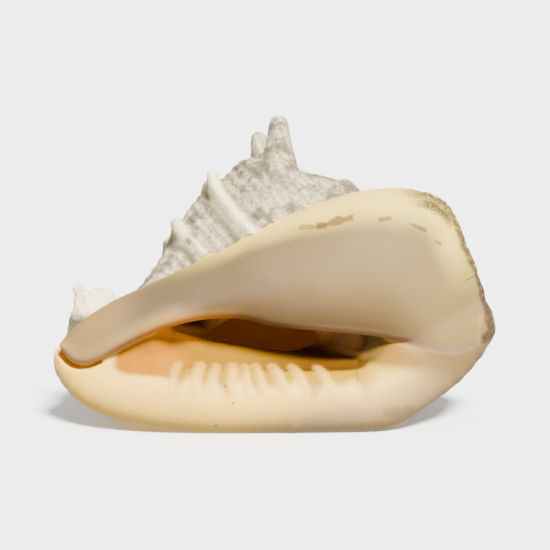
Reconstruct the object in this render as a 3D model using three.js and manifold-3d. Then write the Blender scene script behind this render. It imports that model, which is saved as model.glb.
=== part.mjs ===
// A horned helmet shell, of the kind sold as a conch, lying on its outer lip with its mouth to the front.
// Millimetres, +X from the siphon end to the spire end, +Y from the mouth to the back, +Z up.
import * as THREE from "three";
import { mergeVertices } from "three/addons/utils/BufferGeometryUtils.js";
import Module from "manifold-3d";

const wasm = await Module();
wasm.setup();
const { clamp, lerp, smoothstep } = THREE.MathUtils;

// Driving dimensions. The outline of the mouth side is set out in X and Z as it faces the viewer.
const SIPHON_END = new THREE.Vector3(-118, 24, 52); // the coiling axis at the siphon
const APEX = new THREE.Vector3(86, 84, 98); // the coiling axis at the tip of the spire
const WHORL_GROWTH = 1.3; // growth of the body whorl in one turn
const COIL_START = -Math.PI / 2; // where the body whorl comes out from under the shield
const COIL_FULL = 0.2; // where it has come out to its full radius
const UNDER_SHIELD = 0.82; // share of its radius that it has under the shield
const SHOULDER_AT = 144; // its widest place, along the axis
const SPIRE_GROWTH = 1.62; // growth of the spire's whorls in one turn
const SUTURE_STEP = 4; // how far a spire whorl stands over the next at the shoulder
const SUTURE_FADE = 12; // distance past the shoulder over which the steps come in
const SHIELD_THICKNESS = 10;
const SHIELD_BACKING = 6; // how far behind the shield's face the whorl begins
const SHIELD_BULGE = 5; // swell of the shield above the mouth
const BULGE_LOW = 0.7; // how near the mouth the swell is highest, 1 for half way up
const SHIELD_HALF_LENGTH = 130;
const BULGE_FADE = 60; // length over which the swell dies out at each end
const EDGE_SLOPE = 0.9; // how far the whorl falls back for each step above the shield's edge
const EDGE_ROUNDING = 16; // rounding where that slope meets the crown of the whorl
const CHAMBER_WALL = 10; // thickness of the body whorl
const WORN_FLAT = 1.2; // depth worn off where the shell stands
const MOUTH_FRONT = -60; // a place clear in front of the shell
const MOUTH_BACK_SLOPE = 0.5; // how far the back of the mouth leans back for each step up
const MOUTH_BACK_FOOT = 10; // height over the middle of the lip where the mouth's depth is measured
const FLOOR_SLOPE = 0.2; // rise of the mouth's floor behind the lip
const FLOOR_STEP = 2; // how far behind the middle of the lip the floor begins
const CAP_REACH = 0.6; // how far a tube's end points out, in radii
const RIM_FULLNESS = 0.92; // how round the shield's rim is, 1 for a knife edge

// The body whorl's profile: distance along the axis from the siphon, and radius on its upper side.
const WHORL_PROFILE = [
  [18, 6],
  [34, 13],
  [50, 22],
  [64, 33],
  [78, 47],
  [94, 61],
  [110, 68.5],
  [128, 70.5],
  [144, 72],
  [152, 69.5],
  [162, 62],
  [172, 55],
  [182, 48],
  [192, 38],
  [200, 26],
  [208, 12],
  [213, 0],
];
// Spiral ridges: distance along the axis, height of the ridge and half its width.
const SPIRAL_RIDGES = [
  [78, 2.0, 4],
  [106, 2.5, 4.5],
];
const RIDGE_SIDES = [-1.5, 0, 1.5]; // rows of facets across a ridge, in half widths

// The shield's lower edge, which hangs over the mouth, and its upper edge: X and Z.
const SHIELD_LOWER_EDGE = [
  [-125, 50],
  [-119, 43],
  [-110, 40.5],
  [-101, 44],
  [-90, 52],
  [-76, 60],
  [-60, 66.5],
  [-40, 70],
  [-20, 67.5],
  [0, 63],
  [30, 60],
  [60, 56.5],
  [84, 51],
  [104, 48],
  [130, 54],
];
const SHIELD_UPPER_EDGE = [
  [-125, 51],
  [-119, 59],
  [-99, 76],
  [-69, 92],
  [-27, 111],
  [3, 123],
  [27, 131],
  [45, 136],
  [66, 138.5],
  [86, 137.5],
  [98, 133],
  [107, 124],
  [116, 102],
  [126, 74],
  [130, 56],
];
// How far back the shield's face lies along those two edges: X and Y.
const LOWER_EDGE_DEPTH = [
  [-125, 14],
  [-110, 8.5],
  [-60, 8.5],
  [0, 8],
  [60, 10],
  [104, 18],
  [130, 40],
];
const UPPER_EDGE_DEPTH = [
  [-125, 15],
  [-110, 15],
  [-60, 25],
  [0, 35],
  [60, 42],
  [104, 46],
  [130, 41],
];

// How thick the shield is behind its middle, where it joins the spire: X and thickness.
const SHIELD_DEPTH = [
  [-125, 10],
  [20, 10],
  [66, 26],
  [92, 26],
  [112, 15],
  [130, 8],
];

// Tubes as X, Y, Z and radius: the rolled outer lip, the crevice between it and the shield's end, the siphon
// that bends up behind it with a knob on its edge, the notch in the siphon, the callus that fills the space
// between the shield and the spire, the throat, and the thick wall that mouth and throat are hollowed out of.
const LIP = [
  [-118.5, 27, 42, 10.5],
  [-113.5, 26, 35, 14],
  [-99, 20.5, 27, 17],
  [-72, 17.5, 21.5, 19.5],
  [-36, 16.5, 18.5, 19.5],
  [0, 16.5, 18, 19],
  [40, 17.5, 18.5, 19],
  [62, 19.5, 20.5, 19.5],
  [83, 24, 32, 19],
  [102, 30, 43, 16.5],
  [115, 36, 57, 12.5],
  [108, 50, 70, 8],
];
const CREVICE = [
  [-128, 20, 50, 1.5],
  [-121, 14, 42, 2.2],
  [-111, 11, 37.5, 2.4],
  [-100, 10, 41, 2],
  [-92, 12, 47, 1],
];
const SIPHON = [
  [-106, 26, 48, 14],
  [-108, 38, 56, 14],
  [-107, 46, 62, 12.5],
  [-104, 50, 66, 9],
];
const SIPHON_KNOB = [
  [-112, 44, 66, 8],
  [-114.5, 46, 76, 3.6],
  [-114.5, 46, 79, 3.6],
];
const SIPHON_NOTCH = [
  [-99, 34, 66, 3],
  [-101, 50, 74, 5],
  [-103, 66, 83, 7],
];
const CALLUS = [
  [0, 34, 92, 12],
  [40, 44, 97, 22],
  [64, 52, 98, 26],
  [80, 54, 97, 22],
];
const THROAT = [
  [-66, 26, 57, 6],
  [-52, 32, 57, 12],
  [-30, 40, 57, 16],
  [0, 43, 57, 16],
  [25, 41, 56, 14],
  [42, 35, 53, 9],
  [52, 30, 50, 5],
];
const THROAT_WALL = [
  [-112, 24, 46, 9],
  [-98, 24, 48, 12],
  [-80, 27, 53, 15],
  [-62, 30, 56, 18],
  [-40, 38, 57, 23],
  [-10, 43, 57, 24],
  [25, 42, 56, 23],
  [48, 33, 52, 18],
  [66, 26, 48, 15],
  [84, 24, 46, 13],
  [100, 26, 47, 11],
];
// How far back the mouth goes: X and Y.
const MOUTH_DEPTH = [
  [-108, 7],
  [-98, 8],
  [-80, 10],
  [-62, 19],
  [-40, 32],
  [-10, 38],
  [25, 36],
  [44, 25],
  [54, 12],
  [64, 6],
  [84, 5],
  [100, 8],
];

// The living chamber winds up behind the columella. Angles run from the top over the back to the underside.
const CHAMBER_START = 3.45;
const CHAMBER_END = 1.0;
const CHAMBER_AT = 108; // its middle along the axis
const CHAMBER_HALF_LENGTH = 38;
const COLUMELLA_RADIUS = 15;
const CHAMBER_NARROWEST = 0.25; // its size at the inner end, as a share of that at the mouth
const CHAMBER_CAP = 0.07; // angle by which its ends come to a point

// Where the whorl's underside sweeps out to the lip: distance along the axis, number of the lip's stop, and
// share of the way there.
const FLARE = [
  [18, 0, 1],
  [55, 2, 1],
  [95, 4.5, 0],
  [140, 7.4, 0],
  [160, 9, 0.7],
  [180, 10, 0.5],
  [205, 10.5, 0],
];
const FLARE_START = 2.0; // angle at which the sweep begins
const LIP_ANGLE = 3.73; // angle at which it reaches the lip
const FLARE_END = 4.5; // angle at which it has come back in under the shield

// Knobs: distance along the axis, angle, height over the whorl, half width, and lean towards the spire.
const HORNS = [
  [146, 0.12, 26.5, 7.5, 0.25],
  [144, 0.6, 27, 6.5, 0.2],
  [145, 1.25, 25, 8, 0.25],
  [145, 1.95, 20, 8, 0.25],
  [145, 2.65, 9, 8, 0.25],
  [178, -0.2, 5, 6, 0],
  [106, 0.22, 9, 4.5, 0],
  [106, 1.05, 8, 5, 0],
  [106, 1.6, 8, 5, 0],
  [106, 2.15, 7, 5, 0],
  [79, 0.2, 8, 4.5, -0.1],
  [76, 0.8, 5, 4.5, -0.1],
  [78, 1.5, 6.5, 4.5, -0.1],
  [78, 2.15, 6, 4.5, -0.1],
];
const HORN_SUNK = 3; // depth of its foot under the whorl
// A horn's outline: share of its half width, and share of its height.
const HORN_OUTLINE = [
  [2.1, -0.75],
  [1.4, 0.1],
  [1.12, 0.36],
  [0.92, 0.62],
  [0.76, 0.88],
  [0.48, 1],
];
// Teeth along the inside of the lip: X, half width, and how far the lower end leans to the right.
const TEETH = [
  [-53, 2.6, 0],
  [-42, 2.9, 0],
  [-33, 2.7, 0],
  [-23, 3.2, 0.5],
  [-13, 3.2, 1.5],
  [-1, 3.2, 2.5],
  [11, 3.2, 3.5],
  [24, 2.8, 4.5],
];
// A tooth's course over the lip: angle forward of the crest, and share of its half width.
const TOOTH_COURSE = [
  [-0.5, 0.4],
  [-0.1, 0.9],
  [0.35, 1],
  [0.8, 0.85],
  [1.2, 0.4],
];
const TOOTH_HEIGHT = 2;

// Facets
const WHORL_FACETS = 41;
const TUBE_FACETS = 13;
const HORN_FACETS = 8;
const TOOTH_FACETS = 7;
const LIP_STATIONS = 34;
const THROAT_STATIONS = 14;
const WALL_STATIONS = 18;
const MOUTH_STATIONS = 24;
const CHAMBER_STATIONS = 12;
const SHORT_STATIONS = 7;
const TOOTH_STATIONS = 5;
const SHIELD_STATIONS = 36;
const SHIELD_ROWS = 10;

// The axis, the direction of the top of the whorl and of its back.
const axis = new THREE.Vector3().subVectors(APEX, SIPHON_END).normalize();
const up = new THREE.Vector3(0, 0, 1).addScaledVector(axis, -axis.z).normalize();
const back = new THREE.Vector3().crossVectors(up, axis);

// A smooth curve through pairs of numbers.
function through(pairs) {
  const curve = new THREE.CubicInterpolant(
    pairs.map((pair) => pair[0]),
    pairs.map((pair) => pair[1]),
    1,
  );
  const first = pairs[0][0];
  const last = pairs[pairs.length - 1][0];
  return (at) => curve.evaluate(clamp(at, first, last))[0];
}

const whorlRadius = through(WHORL_PROFILE);
const shieldLower = through(SHIELD_LOWER_EDGE);
const shieldUpper = through(SHIELD_UPPER_EDGE);
const lowerDepth = through(LOWER_EDGE_DEPTH);
const upperDepth = through(UPPER_EDGE_DEPTH);
const shieldDepth = through(SHIELD_DEPTH);
const flareStop = through(FLARE.map(([along, stop]) => [along, stop]));
const flareShare = through(FLARE.map(([along, , share]) => [along, share]));
const lipCurve = new THREE.CatmullRomCurve3(LIP.map(([x, y, z]) => new THREE.Vector3(x, y, z)));
const lipForward = LIP.slice(0, -1); // the part of the lip that runs on towards the spire end
const lipDepth = through(lipForward.map(([x, y]) => [x, y]));
const lipHeight = through(lipForward.map(([x, , z]) => [x, z]));
const lipRadius = through(lipForward.map(([x, , , radius]) => [x, radius]));

// How far back the shield's face lies at X and Z.
function shieldFace(x, z) {
  const low = shieldLower(x);
  const rise = clamp((z - low) / Math.max(shieldUpper(x) - low, 1), 0, 1);
  const fade = clamp((SHIELD_HALF_LENGTH - Math.abs(x)) / BULGE_FADE, 0, 1);
  const swell = SHIELD_BULGE * fade * Math.sin(Math.PI * Math.pow(rise, BULGE_LOW));
  return lerp(lowerDepth(x), upperDepth(x), rise * rise) - swell;
}

// The larger of two numbers, eased where they are close.
function easedLarger(a, b, ease) {
  if (ease === 0) return Math.max(a, b);
  const near = Math.max(0, 1 - Math.abs(a - b) / ease);
  return Math.max(a, b) + (ease / 4) * near * near;
}

// A closed skin over rings of points, with a point at each end.
function skin(start, rings, end) {
  const points = [start, ...rings.flat(), end];
  const count = rings[0].length;
  const at = (ring, i) => 1 + ring * count + (i % count);
  const index = [];
  for (let i = 0; i < count; i++) {
    index.push(0, at(0, i + 1), at(0, i));
    for (let ring = 0; ring + 1 < rings.length; ring++) {
      index.push(at(ring, i), at(ring, i + 1), at(ring + 1, i));
      index.push(at(ring, i + 1), at(ring + 1, i + 1), at(ring + 1, i));
    }
    index.push(points.length - 1, at(rings.length - 1, i), at(rings.length - 1, i + 1));
  }
  return new THREE.BufferGeometry().setFromPoints(points).setIndex(index);
}

// A geometry as a solid that can be joined and cut.
function solid(geometry) {
  const bare = geometry.clone();
  bare.deleteAttribute("normal");
  bare.deleteAttribute("uv");
  const merged = mergeVertices(bare, 1e-4);
  const made = new wasm.Manifold(
    new wasm.Mesh({
      numProp: 3,
      vertProperties: merged.attributes.position.array,
      triVerts: new Uint32Array(merged.index.array),
    }),
  );
  if (made.volume() > 0) return made;
  const flipped = new Uint32Array(merged.index.array).reverse();
  return new wasm.Manifold(
    new wasm.Mesh({ numProp: 3, vertProperties: merged.attributes.position.array, triVerts: flipped }),
  );
}

// A point at a distance along the axis, an angle round it from the top over the back, and a radius.
function coil(along, angle, radius) {
  return SIPHON_END.clone()
    .addScaledVector(axis, along)
    .addScaledVector(up, radius * Math.cos(angle))
    .addScaledVector(back, radius * Math.sin(angle));
}

// The body whorl's radius grows from under the shield, over the top and the back, to the lip.
function grown(radius, angle) {
  const out = smoothstep(angle, COIL_START, COIL_FULL);
  return radius * Math.pow(WHORL_GROWTH, angle / (2 * Math.PI)) * lerp(UNDER_SHIELD, 1, out);
}

// The whorl's radius with its spiral ridges and the steps between the whorls of the spire.
function sculptedRadius(along, angle) {
  let radius = grown(whorlRadius(along), angle);
  for (const [at, height, halfWidth] of SPIRAL_RIDGES) {
    radius += height * Math.exp(-Math.pow((along - at) / halfWidth, 2));
  }
  const share = radius / whorlRadius(SHOULDER_AT);
  const turns = Math.log(share) / Math.log(SPIRE_GROWTH) - angle / (2 * Math.PI);
  const step = SUTURE_STEP * share * (1 - 2 * (turns - Math.floor(turns)));
  return radius + step * smoothstep(along, SHOULDER_AT, SHOULDER_AT + SUTURE_FADE);
}

// A point of the whorl swept out to the lip where it nears it, and kept behind the shield.
function whorlPoint(along, angle) {
  const point = coil(along, angle, sculptedRadius(along, angle));
  const nearing = smoothstep(angle, FLARE_START, LIP_ANGLE) - smoothstep(angle, LIP_ANGLE, FLARE_END);
  const lipPoint = lipCurve.getPoint(flareStop(along) / (LIP.length - 1));
  point.lerp(lipPoint, nearing * clamp(flareShare(along), 0, 1));
  const over = Math.max(0, point.z - shieldUpper(point.x));
  const front = shieldFace(point.x, point.z) + SHIELD_BACKING + EDGE_SLOPE * over;
  point.y = easedLarger(point.y, front, EDGE_ROUNDING * smoothstep(over, 0, EDGE_ROUNDING));
  return point;
}

// The body whorl and the spire, whose whorls step down in a spiral towards the apex.
function whorls() {
  const alongs = WHORL_PROFILE.slice(0, -1).map(([along]) => along);
  for (const [along, , halfWidth] of SPIRAL_RIDGES) {
    for (const side of RIDGE_SIDES) alongs.push(along + side * halfWidth);
  }
  const stations = [...new Set(alongs)].sort((a, b) => a - b);
  const turn = (2 * Math.PI) / WHORL_FACETS;
  const angles = Array.from({ length: WHORL_FACETS }, (_, i) => COIL_START + i * turn);
  const rings = stations.map((along) => angles.map((angle) => whorlPoint(along, angle)));
  const foot = new THREE.Vector3();
  for (const point of rings[0]) foot.addScaledVector(point, 1 / WHORL_FACETS);
  const tip = WHORL_PROFILE[WHORL_PROFILE.length - 1][0];
  return solid(skin(foot, rings, coil(tip, 0, 0)));
}

// A round tube of changing radius with blunt pointed ends. Its course never runs along the across direction.
function tube(stops, stations, facets = TUBE_FACETS, across = new THREE.Vector3(0, 1, 0)) {
  const centres = new THREE.CatmullRomCurve3(stops.map(([x, y, z]) => new THREE.Vector3(x, y, z)));
  const radii = through(stops.map((stop, i) => [i / (stops.length - 1), stop[3]]));
  const rings = [];
  for (let n = 0; n <= stations; n++) {
    const t = n / stations;
    const along = centres.getTangent(t);
    const side = new THREE.Vector3().crossVectors(across, along).normalize();
    const over = new THREE.Vector3().crossVectors(along, side);
    rings.push(
      Array.from({ length: facets }, (_, i) => {
        const turn = (i / facets) * 2 * Math.PI;
        return centres
          .getPoint(t)
          .addScaledVector(side, radii(t) * Math.cos(turn))
          .addScaledVector(over, radii(t) * Math.sin(turn));
      }),
    );
  }
  const cap = (t, reach) => centres.getPoint(t).addScaledVector(centres.getTangent(t), reach * radii(t));
  return solid(skin(cap(0, -CAP_REACH), rings, cap(1, CAP_REACH)));
}

// The shield, a thick glazed plate with a rounded rim.
function shield() {
  const first = SHIELD_LOWER_EDGE[0][0];
  const last = SHIELD_LOWER_EDGE[SHIELD_LOWER_EDGE.length - 1][0];
  const section = (x) => {
    const low = shieldLower(x);
    const high = shieldUpper(x);
    const half = Math.min(SHIELD_THICKNESS, high - low) / 2;
    const at = (row, side) => {
      const z = lerp(low, high, 0.5 - 0.5 * Math.cos((row / (SHIELD_ROWS - 1)) * Math.PI));
      const inset = Math.max(0, 1 - Math.min(z - low, high - z) / half);
      const full = Math.sqrt(1 - Math.min(inset * inset, RIM_FULLNESS));
      const reach = side < 0 ? half : half + (shieldDepth(x) - SHIELD_THICKNESS) * full;
      return new THREE.Vector3(x, shieldFace(x, z) + SHIELD_THICKNESS / 2 + side * reach * full, z);
    };
    const rows = [...Array(SHIELD_ROWS).keys()];
    return [...rows.map((row) => at(row, -1)), ...rows.reverse().map((row) => at(row, 1))];
  };
  const rings = [];
  for (let n = 1; n < SHIELD_STATIONS; n++) {
    const share = 0.5 - 0.5 * Math.cos((n / SHIELD_STATIONS) * Math.PI);
    rings.push(section(lerp(first, last, share)));
  }
  const end = (x) => {
    const z = (shieldLower(x) + shieldUpper(x)) / 2;
    return new THREE.Vector3(x, shieldFace(x, z) + SHIELD_THICKNESS / 2, z);
  };
  return solid(skin(end(first), rings, end(last)));
}

// The living chamber, a tube that winds round the columella and narrows as it goes in.
function chamber() {
  const middle = (along, angle) => (grown(whorlRadius(along), angle) - CHAMBER_WALL + COLUMELLA_RADIUS) / 2;
  const section = (angle, size) =>
    Array.from({ length: TUBE_FACETS }, (_, i) => {
      const turn = (i / TUBE_FACETS) * 2 * Math.PI;
      const along = CHAMBER_AT + CHAMBER_HALF_LENGTH * size * Math.cos(turn);
      const half = Math.max(middle(along, angle) - COLUMELLA_RADIUS, 1);
      return coil(along, angle, middle(along, angle) + half * size * Math.sin(turn));
    });
  const rings = [];
  for (let n = 0; n <= CHAMBER_STATIONS; n++) {
    const share = n / CHAMBER_STATIONS;
    const size = Math.max(CHAMBER_NARROWEST, Math.sqrt(1 - share * share));
    rings.push(section(lerp(CHAMBER_START, CHAMBER_END, share), size));
  }
  const end = (angle) => coil(CHAMBER_AT, angle, middle(CHAMBER_AT, angle));
  return solid(skin(end(CHAMBER_START + CHAMBER_CAP), rings, end(CHAMBER_END - CHAMBER_CAP)));
}

// A blunt horn on the whorl, wide at its foot.
function horn([along, angle, height, halfWidth, lean]) {
  const foot = coil(along, angle, grown(whorlRadius(along), angle) - HORN_SUNK);
  const out = coil(along, angle, 1).sub(coil(along, angle, 0)).addScaledVector(axis, lean).normalize();
  const profile = HORN_OUTLINE.map(
    ([wide, high]) => new THREE.Vector2(wide * halfWidth, high * (height + HORN_SUNK)),
  );
  const bottom = new THREE.Vector2(0, profile[0].y);
  const top = new THREE.Vector2(0, profile[profile.length - 1].y);
  const geometry = new THREE.LatheGeometry([bottom, ...profile, top], HORN_FACETS);
  const turn = new THREE.Quaternion().setFromUnitVectors(new THREE.Vector3(0, 1, 0), out);
  return solid(geometry.applyQuaternion(turn).translate(foot.x, foot.y, foot.z));
}

// A tooth, a smooth bar that runs over the inner edge of the lip and down its front.
function tooth([x, halfWidth, slant]) {
  const stops = TOOTH_COURSE.map(([forward, share]) => {
    const radius = halfWidth * share;
    const reach = lipRadius(x) + TOOTH_HEIGHT * share - radius;
    const z = lipHeight(x) + reach * Math.cos(forward);
    return [x + slant * forward, lipDepth(x) - reach * Math.sin(forward), z, radius];
  });
  return tube(stops, TOOTH_STATIONS, TOOTH_FACETS, new THREE.Vector3(1, 0, 0));
}

// The ground that the shell stands on, as a block to wear it flat.
function ground() {
  const size = 600;
  return solid(new THREE.BoxGeometry(size, size, size).translate(0, 0, WORN_FLAT - size / 2));
}

// The gap between the lip and the shield, in front of the throat. Its floor begins at the crest of the lip.
function mouth() {
  const depth = through(MOUTH_DEPTH);
  const first = MOUTH_DEPTH[0][0];
  const last = MOUTH_DEPTH[MOUTH_DEPTH.length - 1][0];
  const section = (x) => {
    const middle = lipHeight(x);
    const top = shieldLower(x) + SHIELD_THICKNESS / 2;
    const backAt = (z) => depth(x) + MOUTH_BACK_SLOPE * (z - middle - MOUTH_BACK_FOOT);
    const crest = Math.min(middle + lipRadius(x), top - 1);
    const behindLip = Math.max(0, backAt(crest) - lipDepth(x));
    const floor = Math.min(crest + FLOOR_SLOPE * behindLip, top - 1);
    const step = Math.min(lipDepth(x), backAt(crest));
    return [
      new THREE.Vector3(x, MOUTH_FRONT, middle),
      new THREE.Vector3(x, step, middle),
      new THREE.Vector3(x, Math.min(step + FLOOR_STEP, backAt(crest)), crest),
      new THREE.Vector3(x, backAt(floor), floor),
      new THREE.Vector3(x, backAt(top), top),
      new THREE.Vector3(x, MOUTH_FRONT, top),
    ];
  };
  const rings = [];
  for (let n = 0; n <= MOUTH_STATIONS; n++) rings.push(section(lerp(first, last, n / MOUTH_STATIONS)));
  const centre = (ring) => new THREE.Vector3().addVectors(ring[0], ring[4]).divideScalar(2);
  return solid(skin(centre(rings[0]), rings, centre(rings[rings.length - 1])));
}

// All of it grown together as one piece.
function shellGeometry() {
  const grownTogether = [
    shield(),
    tube(SIPHON, SHORT_STATIONS).subtract(tube(SIPHON_NOTCH, SHORT_STATIONS)),
    tube(SIPHON_KNOB, SHORT_STATIONS, TOOTH_FACETS),
    tube(CALLUS, SHORT_STATIONS),
    ...HORNS.map(horn),
  ];
  let shell = whorls().add(tube(THROAT_WALL, WALL_STATIONS)).subtract(mouth());
  shell = shell.add(tube(LIP, LIP_STATIONS)).subtract(tube(CREVICE, SHORT_STATIONS, TOOTH_FACETS));
  for (const piece of grownTogether) shell = shell.add(piece);
  shell = shell.subtract(tube(THROAT, THROAT_STATIONS)).subtract(chamber());
  for (const piece of TEETH.map(tooth)) shell = shell.add(piece);
  // Pockets sealed between the shield and the whorl are left solid.
  const [whole] = shell.subtract(ground()).decompose().sort((a, b) => b.volume() - a.volume());
  const mesh = whole.getMesh();
  const geometry = new THREE.BufferGeometry();
  geometry.setAttribute("position", new THREE.BufferAttribute(mesh.vertProperties.slice(), 3));
  geometry.setIndex(new THREE.BufferAttribute(mesh.triVerts.slice(), 1));
  // The origin is on the ground, under the middle of the shell.
  geometry.computeBoundingBox();
  const box = geometry.boundingBox;
  geometry.translate(-(box.min.x + box.max.x) / 2, -(box.min.y + box.max.y) / 2, -box.min.z);
  geometry.computeVertexNormals();
  return geometry;
}

const shellMaterial = new THREE.MeshStandardMaterial({ color: 0xe6d6b8, roughness: 0.4, metalness: 0 });
const shell = new THREE.Mesh(shellGeometry(), shellMaterial);
shell.name = "shell";

const conchShell = new THREE.Group();
conchShell.add(shell);

export default conchShell;
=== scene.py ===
"""The looks of a horned helmet shell, built over its CAD part. The shape is worked out in millimetres."""

import math

import bpy
import numpy as np
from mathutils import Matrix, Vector


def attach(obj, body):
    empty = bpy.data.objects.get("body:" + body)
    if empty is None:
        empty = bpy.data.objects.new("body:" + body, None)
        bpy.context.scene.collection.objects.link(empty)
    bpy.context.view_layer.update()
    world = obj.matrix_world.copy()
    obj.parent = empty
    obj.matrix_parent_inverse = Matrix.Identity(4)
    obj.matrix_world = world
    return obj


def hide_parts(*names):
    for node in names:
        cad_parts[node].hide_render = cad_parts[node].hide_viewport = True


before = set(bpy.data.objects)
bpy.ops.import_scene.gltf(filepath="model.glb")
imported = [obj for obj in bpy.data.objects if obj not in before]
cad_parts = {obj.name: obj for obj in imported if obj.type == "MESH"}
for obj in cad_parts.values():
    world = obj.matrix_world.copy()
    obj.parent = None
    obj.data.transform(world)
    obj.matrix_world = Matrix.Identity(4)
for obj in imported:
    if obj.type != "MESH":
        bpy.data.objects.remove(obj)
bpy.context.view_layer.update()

# The shell is set out in its own drawing frame, as the part is. ORIGIN is the part's origin in it.
ORIGIN = np.array([1.48, 76.71, 1.2])
STEP = 1.55  # size of the cells that the surface is drawn through
SETTLE_ROUNDS = 2
SETTLE_REACH = 0.5
PROBE = 0.3
GRID_LOW = np.array([-133.0, -9.0, -3.0])
GRID_HIGH = np.array([136.0, 162.0, 186.0])

# Coiling axis, body whorl and spire
SIPHON_END = np.array([-118.0, 24.0, 52.0])
APEX = np.array([86.0, 84.0, 98.0])
WHORL_GROWTH = 1.3
COIL_START = -math.pi / 2
COIL_FULL = 0.2
UNDER_SHIELD = 0.82
SHOULDER_AT = 144.0
SPIRE_GROWTH = 1.62
SUTURE_STEP = 4.0
SUTURE_FADE = 12.0
WHORL_PROFILE = [
    (18, 6), (34, 13), (50, 22), (64, 33), (78, 47), (94, 61), (110, 68.5), (128, 70.5), (144, 72),
    (152, 69.5), (162, 62), (172, 55), (182, 48), (192, 38), (200, 26), (208, 12), (213, 0),
]
# Spiral ridges: distance along the axis, height and half width.
SPIRAL_RIDGES = [(78, 3.0, 3.6), (106, 4.6, 4.0), (146, 2.0, 6.0)]
RIDGE_LEAN = 15.0  # millimetres towards the spire for each radian that a ridge runs down to the mouth
RIDGE_LEAN_FROM = 0.2
# The rise between the second row of knobs and the horns: distance along the axis, height and half width.
SHOULDER_RISE = (130.0, 5.5, 11.0)
SHOULDER_RISE_TURN = (-0.9, -0.1, 0.45, 0.95)  # angles where it starts, is full, falls off and ends
BACK_ROUGH = 0.45
CORD_PITCH = 5.2  # distance between the fine spiral cords
CORD_HEIGHT = 0.3
CORD_SPAN = (30.0, 60.0, 150.0, 170.0)  # distances along the axis where they start, are full, fade and end

# Shield
SHIELD_THICKNESS = 10.0
SHIELD_BACKING = 8.0
SHIELD_BULGE = 5.0
BULGE_LOW = 0.7
SHIELD_HALF_LENGTH = 130.0
BULGE_FADE = 60.0
RIM_WORN = 0.9  # how far the rim at the spire end is worn away, give or take as much
WORN_FROM = (66.0, 92.0)
WORN_WIDTH = (4.0, 14.0)
EDGE_SLOPE = 0.72
EDGE_ROUNDING = 16.0
SHIELD_LOWER_EDGE = [
    (-125, 50), (-119, 43), (-110, 40.5), (-101, 43.5), (-90, 49.5), (-76, 56.5), (-60, 62.5), (-40, 67),
    (-20, 67.5), (0, 63), (30, 60), (60, 56.5), (84, 51), (104, 48), (130, 54),
]
SHIELD_UPPER_EDGE = [
    (-125, 51), (-119, 58), (-99, 73), (-69, 86.5), (-27, 105.5), (3, 120), (27, 130), (45, 136), (66, 138.5),
    (86, 137.5), (98, 133), (107, 124), (116, 102), (126, 74), (130, 56),
]
LOWER_EDGE_DEPTH = [(-125, 14), (-110, 8.5), (-60, 8.5), (0, 8), (60, 10), (104, 18), (130, 40)]
UPPER_EDGE_DEPTH = [(-125, 15), (-110, 15), (-60, 25), (0, 35), (60, 42), (104, 46), (130, 41)]
SHIELD_DEPTH = [(-125, 10), (20, 10), (66, 26), (92, 26), (112, 15), (130, 8)]

# Tubes as X, Y, Z and radius
LIP = [
    (-118.5, 27, 42, 10.5), (-113.5, 26, 35, 14), (-99, 20.5, 27, 17), (-72, 17.5, 21.5, 19.5),
    (-36, 16.5, 18.5, 19.5), (0, 16.5, 18, 19), (40, 17.5, 18.5, 19), (62, 19.5, 20.5, 19.5),
    (83, 24, 32, 19), (102, 30, 43, 16.5), (115, 36, 57, 12.5), (108, 50, 70, 8),
]
CREVICE_WIDTH = 2.4
CREVICE_GAP = 1.4  # from the tongue's outline to the middle of the crevice
CREVICE_DEPTH = 17.0
CREVICE_DEPTH_AT_TIP = 32.0
CREVICE_END = (-99.0, 64.0)  # X and Z
CREVICE_TIP = (-120.0, -108.0)
SIPHON = [(-106, 26, 48, 14), (-108, 38, 56, 14), (-106, 45, 64, 12.5), (-103, 48, 71, 8.5)]
SIPHON_KNOB = [(-112, 44, 66, 6), (-115, 45, 76, 3.4), (-115.5, 45, 79, 3.6)]
SIPHON_ROUGH = 0.7
SIPHON_NOTCH = [(-99, 38, 80, 3), (-101, 52, 83, 4), (-103, 66, 88, 6)]
CALLUS = [(0, 34, 92, 12), (40, 44, 97, 22), (64, 52, 98, 26), (80, 54, 97, 22)]
THROAT = [
    (-57, 27, 61, 3), (-46, 32, 59.5, 7.5), (-30, 40, 57.5, 14), (0, 43, 57, 16), (25, 41, 56, 14),
    (42, 35, 53, 9), (52, 30, 50, 5),
]
# The thick wall that the throat and the mouth are hollowed out of.
THROAT_WALL = [
    (-112, 24, 46, 9), (-98, 24, 48, 12), (-80, 27, 53, 15), (-62, 30, 56, 18), (-40, 38, 57, 23),
    (-10, 43, 57, 24), (25, 42, 56, 23), (48, 33, 52, 18), (66, 26, 48, 15), (84, 24, 46, 13),
    (100, 26, 47, 11),
]
# How far back the mouth goes, by X
MOUTH_DEPTH = [
    (-108, 7), (-98, 11), (-80, 12), (-62, 15), (-48, 21), (-34, 31), (-10, 38), (25, 36), (44, 25), (54, 12),
    (64, 6), (84, 5), (100, 8),
]
MOUTH_BACK_SLOPE = 0.5
MOUTH_BACK_SLOPE_FROM = (-74.0, -46.0)
# How steeply the mouth's floor rises behind the lip, by X
FLOOR_SLOPE = [(-108, 1.4), (-62, 2.6), (-45, 1.9), (-20, 1.1), (15, 0.45), (40, 0.25), (100, 0.2)]
FLOOR_EASE = 5.0
# Where the whorl's underside meets the lip near the siphon, as X, Y, Z and radius.
CANAL_BACK = [(-112, 30, 42, 9), (-92, 32, 40, 14), (-66, 36, 34, 20), (-40, 40, 28, 22)]

# Colours change along these spans of X: where they start, are full, fade and end.
RAMP_SPAN = (-101.0, -86.0, -60.0, -44.0)
GROOVE_SPAN = (-62.0, -52.0, 46.0, 68.0)
SLOPE_SPAN = (46.0, 58.0, 86.0, 108.0)
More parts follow.
